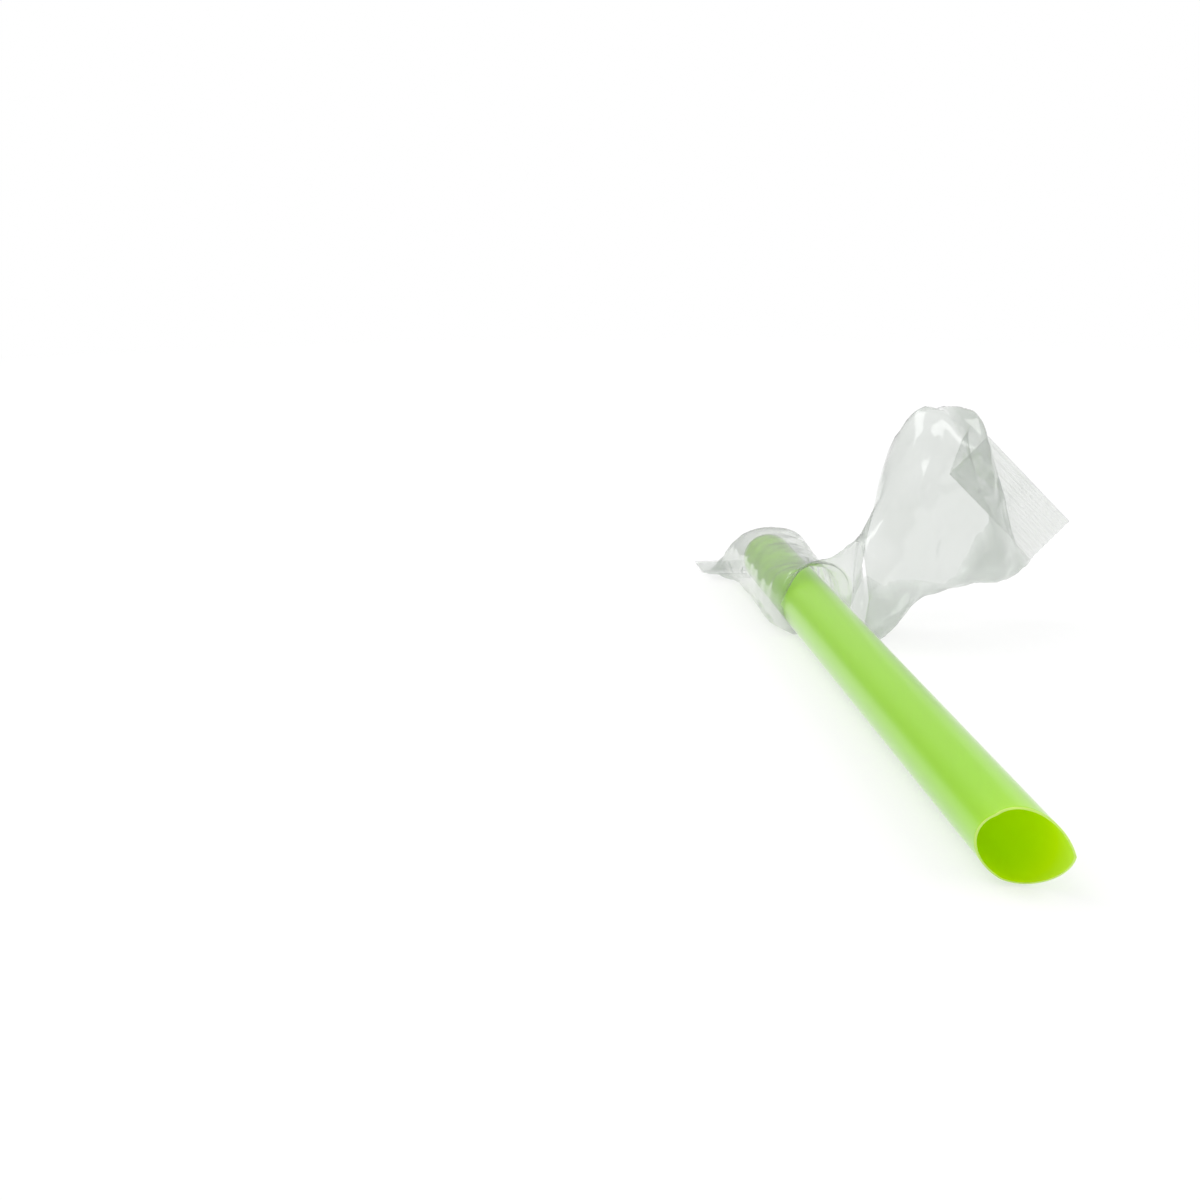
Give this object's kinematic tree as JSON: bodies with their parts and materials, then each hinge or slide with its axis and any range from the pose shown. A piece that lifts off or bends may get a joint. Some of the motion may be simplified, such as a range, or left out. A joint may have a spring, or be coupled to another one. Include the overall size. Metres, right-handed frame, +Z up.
{
  "type": "wrapped drinking straw",
  "caption": "Wide translucent green drinking straw with a slanted, pointed mouth, pushed part way out of its torn clear film sleeve with crimped end seals.",
  "frame": {"origin": "centre of the straw's square end, on the axis of its bore", "axes": "+X along the straw's axis towards its slanted mouth, +Z up, with the straw lying on its side"},
  "size_m": [0.235, 0.0764, 0.049],
  "materials": {
    "straw_plastic": "glossy, translucent",
    "clear_film": "clear, glossy, creased"
  },
  "bodies": {
    "root": {"straw": "straw_plastic", "wrapper": "clear_film"}
  },
  "joints": []
}
